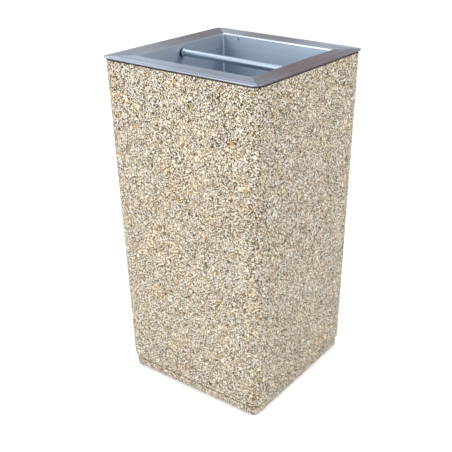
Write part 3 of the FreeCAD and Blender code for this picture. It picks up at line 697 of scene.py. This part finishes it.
def make_plinth(face, plain):
    """The recessed slab: stones on its upright sides, with its holes for bolts, screws and drain."""
    rooms = {
        "outside": (0.0, 0.0, 1.0, 0.10),
        "top": (0.0, 0.15, 0.45, 0.45),
        "base": (0.5, 0.15, 0.45, 0.45),
        "bores": (0.9, 0.9, 0.1, 0.1),
    }
    cast = Casting()
    low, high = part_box("base_plinth")
    side_steps = round(2 * (high.x - PLINTH_CORNER) / GRID)
    corner_steps = round(math.pi / 2 * PLINTH_CORNER / GRID)

    def outer(inset, height, relief):
        return cast.add_ring(
            ring(high.x - inset, PLINTH_CORNER - inset, height, side_steps, corner_steps), relief
        )

    rings = [outer(PLINTH_EDGE, low.z, 0.0), outer(PLINTH_EDGE / 2, low.z + PLINTH_EDGE / 2, 0.5)]
    start, stop = low.z + PLINTH_EDGE, high.z - PLINTH_TOP_EDGE
    count = round((stop - start) / GRID)
    for step in range(count + 1):
        rings.append(outer(0.0, start + (stop - start) * step / count, 1.0))
    rings.append(outer(PLINTH_TOP_EDGE, high.z, 0.0))
    cast.wall(rings, rooms["outside"], FACE)
    stations = ((SLEEVE_RADIUS, low.z), (SLEEVE_RADIUS, high.z))
    drain = cast.bore(0, 0, stations, rooms["bores"], PLAIN)
    below, above = [drain[0]], [drain[1]]
    seat = low.z + COUNTERBORE_DEPTH
    for sx, sy in CORNER_SIGNS:
        stations = (
            (COUNTERBORE_RADIUS, low.z),
            (COUNTERBORE_RADIUS, seat),
            (BOLT_RADIUS, seat),
            (BOLT_RADIUS, high.z),
        )
        bolt = cast.bore(sx * BOLT_PLACE, sy * BOLT_PLACE, stations, rooms["bores"], PLAIN)
        below.append(bolt[0])
        above.append(bolt[1])
        stations = ((FOOT_SCREW_RADIUS, low.z), (FOOT_SCREW_RADIUS, low.z + FOOT_SCREW_GRIP))
        screw = cast.bore(sx * FOOT_PLACE, sy * FOOT_PLACE, stations, rooms["bores"], PLAIN)
        cast.cap([screw[1]], rooms["bores"], PLAIN, up=False)
        below.append(screw[0])
    cast.cap([rings[-1]] + above, rooms["top"], PLAIN)
    cast.cap([rings[0]] + below, rooms["base"], PLAIN, up=False)
    item = cast.build("plinth_casting", [face, plain])
    raise_stones(item)
    return item


def make_castings():
    plain = cast_cement()
    shell_top, plinth_top = (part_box(node)[1].z for node in ("concrete_shell", "base_plinth"))
    shell = make_shell(aggregate("aggregate", *SHELL_WASH, shell_top), plain)
    plinth = make_plinth(aggregate("aggregate_low", *PLINTH_WASH, plinth_top), plain)
    for item, node in ((shell, "concrete_shell"), (plinth, "base_plinth")):
        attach(item, "shell")
        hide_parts(node)


# The four sides of the liner, all of one steel: colours as the screen shows them, dark and light
# where there are two. Where the sides differ, their flange, wall, bend and edge tones are painted
# reflection: the brightness and tint that the room reflects in each side, bluish on the walls,
# darker and browner on the right flange, and a dark edge on the right.
LINER_SIDES = {
    "front": {
        "axis": "X",
        "flange": ((163, 172, 189), (222, 231, 249)),
        "wall": ((196, 211, 226), (206, 220, 234)),
        "bend": (236, 240, 248),
        "edge": (160, 164, 178),
        "painted_reflection": (240, 237, 235),
        "painted_reflection_middle": 0.05,
        "painted_reflection_reach": 0.11,
    },
    "back": {
        "axis": "X",
        "flange": ((164, 170, 186), (228, 236, 251)),
        "wall": ((181, 196, 212), (191, 206, 221)),
        "bend": (226, 234, 242),
        "edge": (150, 150, 160),
        "painted_reflection": (206, 194, 194),
        "painted_reflection_middle": -0.03,
        "painted_reflection_reach": 0.16,
    },
    "left": {
        "axis": "Y",
        "flange": ((173, 178, 192), (230, 235, 249)),
        "wall": ((193, 202, 215), (205, 215, 226)),
        "bend": (200, 204, 212),
        "edge": (150, 150, 160),
        "painted_reflection": (186, 169, 162),
        "painted_reflection_middle": 0.18,
        "painted_reflection_reach": 0.32,
    },
    "right": {
        "axis": "Y",
        "flange": ((138, 135, 146), (200, 197, 208)),
        "wall": ((190, 205, 220), (200, 215, 230)),
        "bend": (170, 174, 182),
        "edge": (112, 104, 112),
        "painted_reflection": (222, 191, 186),
        "painted_reflection_middle": -0.01,
        "painted_reflection_reach": 0.19,
    },
}


def dress_nodes():
    """Gives every CAD node that stays its own material."""
    steel = {}
    for side, look in LINER_SIDES.items():
        steel[side] = brushed_steel("steel_" + side, look["axis"], look["flange"], look=look)
    plate = brushed_steel("steel_plate", "X", ((170, 178, 190), (205, 213, 224)), 0.42)
    satin = brushed_steel("satin_tube", "X", ((160, 176, 191), (191, 205, 218)), 0.32, 0.4)
    # Where the painted shade on the collars begins.
    shade_from = MOUTH_HALF - CREVICE_SHADE_DEPTH
    collar = metal("collar_steel", (206, 214, 220), (238, 243, 247), 0.30, shade_from=shade_from)
    rivet = metal("rivet_steel", (104, 110, 118), (150, 156, 164), 0.45)
    weld = metal("weld_bead", (234, 238, 242), (252, 253, 254), 0.50, 0.0025, 0.0001)
    zinc = metal("zinc_plate", (132, 136, 138), (176, 180, 180), 0.38)
    wire = metal("mill_scale", (58, 50, 46), (96, 84, 76), 0.62, 0.0015, 0.0001)
    rubber = dull("black_rubber", (22, 22, 23), (40, 40, 41), 0.80)
    strip = dull("bedding_strip", (34, 31, 28), (58, 52, 46), 0.90, 0.002, 0.0003)
    pipe = dull("drain_pipe", (96, 98, 102), (118, 120, 124), 0.50)
    wear = {
        steel["front"]: ("liner_front",),
        steel["back"]: ("liner_back",),
        steel["left"]: ("liner_left",),
        steel["right"]: ("liner_right",),
        plate: ("liner_floor", "mitre_gussets"),
        satin: ("lift_bar",),
        collar: ("bar_collars",),
        weld: ("corner_welds",),
        rivet: ("clip_rivets", "floor_rivets"),
        zinc: (
            "bar_plugs", "bar_screws", "bar_washers", "centring_clips",
            "foot_screws", "plinth_bolts", "plinth_sockets", "plinth_washers",
        ),
        wire: ("rebar_hoops", "rebar_uprights"),
        rubber: (
            "foot_back_left", "foot_back_right", "foot_front_left", "foot_front_right", "rim_pads",
        ),
        strip: ("plinth_gasket",),
        pipe: ("drain_sleeve",),
    }
    for material, names in wear.items():
        for name in names:
            NODES[name].data.materials.clear()
            NODES[name].data.materials.append(material)


# The studio


def make_camera():
    camera = bpy.data.objects.new("camera", bpy.data.cameras.new("camera"))
    bpy.context.scene.collection.objects.link(camera)
    bpy.context.scene.camera = camera
    camera.data.sensor_width = SENSOR
    camera.data.lens = SENSOR * FOCAL_WIDTHS
    camera.data.shift_x, camera.data.shift_y = SHIFT
    yaw, pitch, roll = (math.radians(angle) for angle in (YAW, PITCH, ROLL))
    level = math.cos(pitch)
    back = Vector((math.sin(yaw) * level, -math.cos(yaw) * level, math.sin(pitch)))
    right = Vector((math.cos(yaw), math.sin(yaw), 0))
    up = back.cross(right)
    turned = Matrix((right, up, back)).transposed() @ Matrix.Rotation(roll, 3, "Z")
    camera.matrix_world = Matrix.Translation(CAMERA_PLACE) @ turned.to_4x4()


# The lamps that face the bin's middle: place, side, watts and colour.
SOFTBOXES = {
    "softbox_left": ((-2.6, 0.2, 2.5), 1.7, 30, (0.92, 0.96, 1.0)),
    "softbox_front": ((-0.9, -3.2, 1.9), 2.4, 57, (1.0, 0.99, 0.97)),
    "softbox_right": ((2.3, 1.0, 2.7), 1.2, 34, (1.0, 0.98, 0.97)),
}
CEILING_POWER = 1.4
CEILING_SPREAD = 100  # degrees of sky that the ceiling light fills
CEILING_TILT = (10, 4)  # degrees about X and Y
ROOM_COLOUR = (0.93, 0.96, 1.0, 1.0)
ROOM_STRENGTH = 0.55
FLOOR_SIDE = 30
FLOOR_WHITES = ((244, 244, 244), (248, 248, 248))
FLOOR_GLOW = 0.22
BACKDROP_RADIUS = 14


def lamp_of(name, kind):
    """A new lamp of a kind, in the scene."""
    item = bpy.data.objects.new(name, bpy.data.lights.new(name, kind))
    bpy.context.scene.collection.objects.link(item)
    return item


def make_lights():
    ceiling = lamp_of("ceiling_light", "SUN")
    ceiling.data.energy = CEILING_POWER
    ceiling.data.angle = math.radians(CEILING_SPREAD)
    ceiling.rotation_euler = [math.radians(angle) for angle in (*CEILING_TILT, 0)]
    for name, (place, side, power, colour) in SOFTBOXES.items():
        lamp = lamp_of(name, "AREA")
        lamp.data.shape = "SQUARE"
        lamp.data.size = side
        lamp.data.energy = power
        lamp.data.color = colour
        lamp.location = place
        aim = (CAD_LOW + CAD_HIGH) / 2 - Vector(place)
        lamp.rotation_euler = aim.to_track_quat("-Z", "Y").to_euler()


def make_room():
    """The world's even light."""
    world = bpy.data.worlds.new("studio")
    bpy.context.scene.world = world
    world.use_nodes = True
    sky = world.node_tree.nodes["Background"]
    sky.inputs["Color"].default_value = ROOM_COLOUR
    sky.inputs["Strength"].default_value = ROOM_STRENGTH


def make_floor():
    bpy.ops.mesh.primitive_plane_add(size=FLOOR_SIDE, location=(0, 0, 0))
    floor = bpy.context.object
    floor.name = "studio_floor"
    paper, tree, shader = new_material("studio_paper")
    shade = tree.noise(own_place(tree), 0.4)
    white = tree.ramp(shade, list(zip(NOISE_RANGE, FLOOR_WHITES)))
    tree.feed(shader.inputs["Base Color"], white)
    shader.inputs["Roughness"].default_value = 0.9
    shader.inputs["Emission Color"].default_value = (1.0, 1.0, 1.0, 1.0)
    shader.inputs["Emission Strength"].default_value = FLOOR_GLOW
    floor.data.materials.append(paper)


def make_backdrop():
    """A white screen all round, which only the camera sees, so that it lights nothing."""
    bpy.ops.mesh.primitive_uv_sphere_add(radius=BACKDROP_RADIUS, segments=64, ring_count=32)
    backdrop = bpy.context.object
    backdrop.name = "studio_backdrop"
    screen, _, shader = new_material("studio_screen")
    shader.inputs["Base Color"].default_value = (0.0, 0.0, 0.0, 1.0)
    shader.inputs["Emission Color"].default_value = (1.0, 1.0, 1.0, 1.0)
    shader.inputs["Emission Strength"].default_value = 1.0
    backdrop.data.materials.append(screen)
    for ray in ("diffuse", "glossy", "transmission", "volume_scatter", "shadow"):
        setattr(backdrop, "visible_" + ray, False)


def make_studio():
    bpy.context.scene.view_settings.view_transform = "Standard"
    make_room()
    make_floor()
    make_backdrop()
    make_lights()


make_camera()
make_studio()
make_castings()
dress_nodes()
